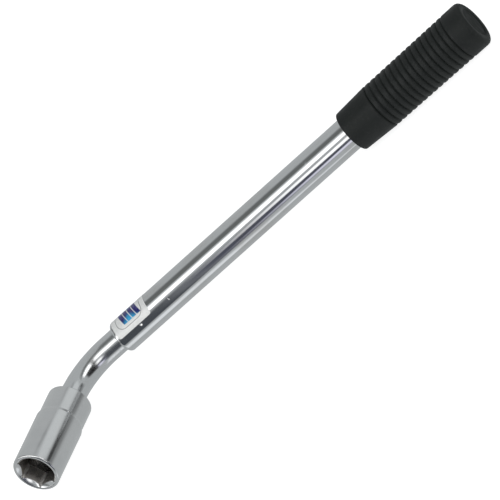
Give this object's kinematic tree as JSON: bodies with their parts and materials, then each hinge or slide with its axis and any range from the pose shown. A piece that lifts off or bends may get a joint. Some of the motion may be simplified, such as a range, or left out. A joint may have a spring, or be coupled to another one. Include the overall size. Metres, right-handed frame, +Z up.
{
  "type": "lug wrench",
  "caption": "Telescopic lug wrench with a bent rod, a reversible deep hexagon socket and a sliding tube handle with a ribbed grip.",
  "frame": {"origin": "middle of the bounding box's bottom face, on the floor that the tool lies on", "axes": "+X along the handle towards the grip's end; the socket points to -X and -Y in the horizontal plane; +Z up"},
  "size_m": [0.3898, 0.1008, 0.0321],
  "materials": {
    "bright_chrome": "polished chrome plate",
    "satin_chrome": "satin chrome plate with fine turning marks",
    "dark_steel": "black oxide, oiled",
    "spring_steel": "drawn wire",
    "ball_steel": "ground and polished",
    "bush_plastic": "moulded, natural",
    "black_plastic": "moulded",
    "grip_rubber": "matte moulded rubber",
    "printed_label": "glossy printed film with a blue two-tone pattern"
  },
  "bodies": {
    "rod": {"drive_rod": "bright_chrome", "stop_head": "dark_steel", "stop_pin": "spring_steel", "friction_balls": "ball_steel", "friction_spring": "spring_steel", "drive_ball_spring": "spring_steel"},
    "drive_ball_body": {"drive_ball": "ball_steel"},
    "socket_body": {"socket": "satin_chrome"},
    "bush": {"guide_bush": "bush_plastic"},
    "handle": {"handle_tube": "bright_chrome", "tube_plug": "black_plastic", "grip": "grip_rubber", "label": "printed_label"}
  },
  "joints": [
    {"name": "handle_slide", "type": "slide", "parent": "rod", "child": "bush", "axis": [1, 0, 0], "range_m": [0, 0.18]},
    {"name": "handle_spin", "type": "hinge", "parent": "bush", "child": "handle", "pos_m": [0, 0.03433, 0.01605], "axis": [1, 0, 0], "continuous": true},
    {"name": "socket_pull", "type": "slide", "parent": "rod", "child": "socket_body", "axis": [-0.4848, -0.8746, 0], "range_m": [0, 0.045]},
    {"name": "drive_ball_press", "type": "slide", "parent": "rod", "child": "drive_ball_body", "axis": [0, 0, -1], "range_m": [0, 0.0008], "stiffness_N_per_m": 800, "deforming": ["drive_ball_spring"]}
  ]
}
